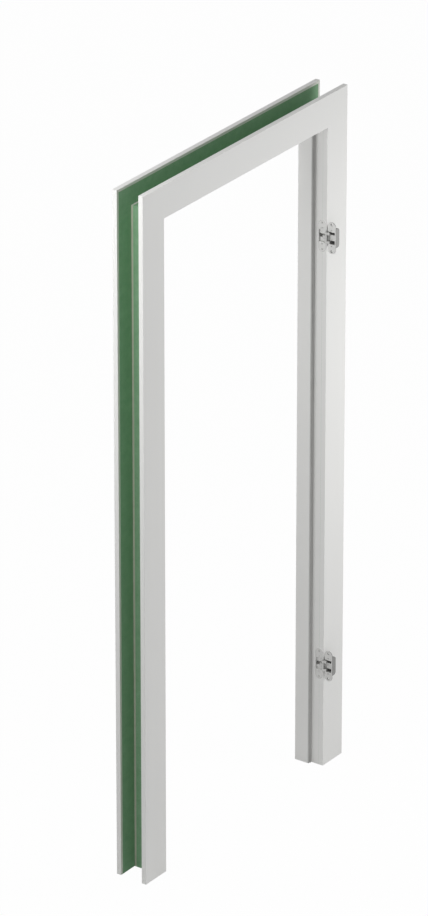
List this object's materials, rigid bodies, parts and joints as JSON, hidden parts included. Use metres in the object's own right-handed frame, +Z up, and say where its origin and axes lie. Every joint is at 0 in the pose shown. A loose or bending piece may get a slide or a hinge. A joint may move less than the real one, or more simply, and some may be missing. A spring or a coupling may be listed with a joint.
{
  "type": "door frame",
  "caption": "Adjustable interior door frame with mitred casings both sides of the wall, a stop with a seal, and concealed hinges folded open.",
  "frame": {"origin": "on the floor, in the middle of the opening's width, in the plane of the front casings", "axes": "+Z up, +X towards the hinged jamb, +Y from the door side through the wall"},
  "size_m": [0.972, 0.1345, 2.1],
  "materials": {
    "front_board": "white foil on board, green moisture-resistant back",
    "rear_board": "white foil on board, green moisture-resistant back",
    "lining_board": "white foil on board, green moisture-resistant back",
    "raw_board": "bare green board",
    "seal_rubber": "matt grey",
    "hinge_zinc": "satin silver",
    "hinge_steel": "satin",
    "strike_steel": "satin",
    "screw_steel": "zinc plated"
  },
  "bodies": {
    "root": {"lining_left": "lining_board", "lining_right": "lining_board", "lining_head": "lining_board", "stop_left": "lining_board", "stop_right": "lining_board", "stop_head": "lining_board", "front_casing_left": "front_board", "front_casing_right": "front_board", "front_casing_head": "front_board", "front_spline_left": "raw_board", "front_spline_right": "raw_board", "front_spline_head": "raw_board", "seal_left": "seal_rubber", "seal_right": "seal_rubber", "seal_head": "seal_rubber", "strike_plate": "strike_steel", "strike_screws": "screw_steel", "corner_screws": "screw_steel", "upper_hinge_frame_housing": "hinge_zinc", "upper_hinge_frame_plate": "hinge_zinc", "upper_hinge_frame_pin": "hinge_steel", "upper_hinge_frame_adjusters": "hinge_steel", "upper_hinge_frame_screws": "screw_steel", "lower_hinge_frame_housing": "hinge_zinc", "lower_hinge_frame_plate": "hinge_zinc", "lower_hinge_frame_pin": "hinge_steel", "lower_hinge_frame_adjusters": "hinge_steel", "lower_hinge_frame_screws": "screw_steel"},
    "rear_casing": {"rear_casing_left": "rear_board", "rear_casing_right": "rear_board", "rear_casing_head": "rear_board", "rear_tongue_left": "raw_board", "rear_tongue_right": "raw_board", "rear_tongue_head": "raw_board"},
    "upper_leaf_half": {"upper_hinge_leaf_housing": "hinge_zinc", "upper_hinge_leaf_plate": "hinge_zinc", "upper_hinge_leaf_pin": "hinge_steel", "upper_hinge_leaf_adjusters": "hinge_steel"},
    "upper_central_arm": {"upper_hinge_central_arm": "hinge_steel", "upper_hinge_centre_pin": "hinge_steel"},
    "upper_outer_arms": {"upper_hinge_outer_arm_top": "hinge_steel", "upper_hinge_outer_arm_bottom": "hinge_steel"},
    "lower_leaf_half": {"lower_hinge_leaf_housing": "hinge_zinc", "lower_hinge_leaf_plate": "hinge_zinc", "lower_hinge_leaf_pin": "hinge_steel", "lower_hinge_leaf_adjusters": "hinge_steel"},
    "lower_central_arm": {"lower_hinge_central_arm": "hinge_steel", "lower_hinge_centre_pin": "hinge_steel"},
    "lower_outer_arms": {"lower_hinge_outer_arm_top": "hinge_steel", "lower_hinge_outer_arm_bottom": "hinge_steel"}
  },
  "joints": [
    {"name": "rear_casing_slide", "type": "slide", "parent": "root", "child": "rear_casing", "axis": [0, 1, 0], "range_m": [0, 0.02]},
    {"name": "upper_hinge_swing", "type": "hinge", "parent": "root", "child": "upper_leaf_half", "pos_m": [0.3875, -0.00025, 1.672], "axis": [0, 0, 1], "range_deg": [-180, 0]},
    {"name": "upper_central_arm_turn", "type": "hinge", "parent": "root", "child": "upper_central_arm", "pos_m": [0.401, 0.009, 1.672], "axis": [0, 0, 1], "range_deg": [-73.16, 0]},
    {"name": "upper_outer_arms_turn", "type": "hinge", "parent": "upper_leaf_half", "child": "upper_outer_arms", "pos_m": [0.401, -0.0095, 1.672], "axis": [0, 0, 1], "range_deg": [0, 73.16]},
    {"name": "lower_hinge_swing", "type": "hinge", "parent": "root", "child": "lower_leaf_half", "pos_m": [0.3875, -0.00025, 0.328], "axis": [0, 0, 1], "range_deg": [-180, 0]},
    {"name": "lower_central_arm_turn", "type": "hinge", "parent": "root", "child": "lower_central_arm", "pos_m": [0.401, 0.009, 0.328], "axis": [0, 0, 1], "range_deg": [-73.16, 0]},
    {"name": "lower_outer_arms_turn", "type": "hinge", "parent": "lower_leaf_half", "child": "lower_outer_arms", "pos_m": [0.401, -0.0095, 0.328], "axis": [0, 0, 1], "range_deg": [0, 73.16]}
  ],
  "couplings": [
    {"joint": "upper_central_arm_turn", "follows": "upper_hinge_swing", "ratio": 0.40616},
    {"joint": "upper_outer_arms_turn", "follows": "upper_hinge_swing", "ratio": -0.40616},
    {"joint": "lower_central_arm_turn", "follows": "lower_hinge_swing", "ratio": 0.40616},
    {"joint": "lower_outer_arms_turn", "follows": "lower_hinge_swing", "ratio": -0.40616}
  ]
}
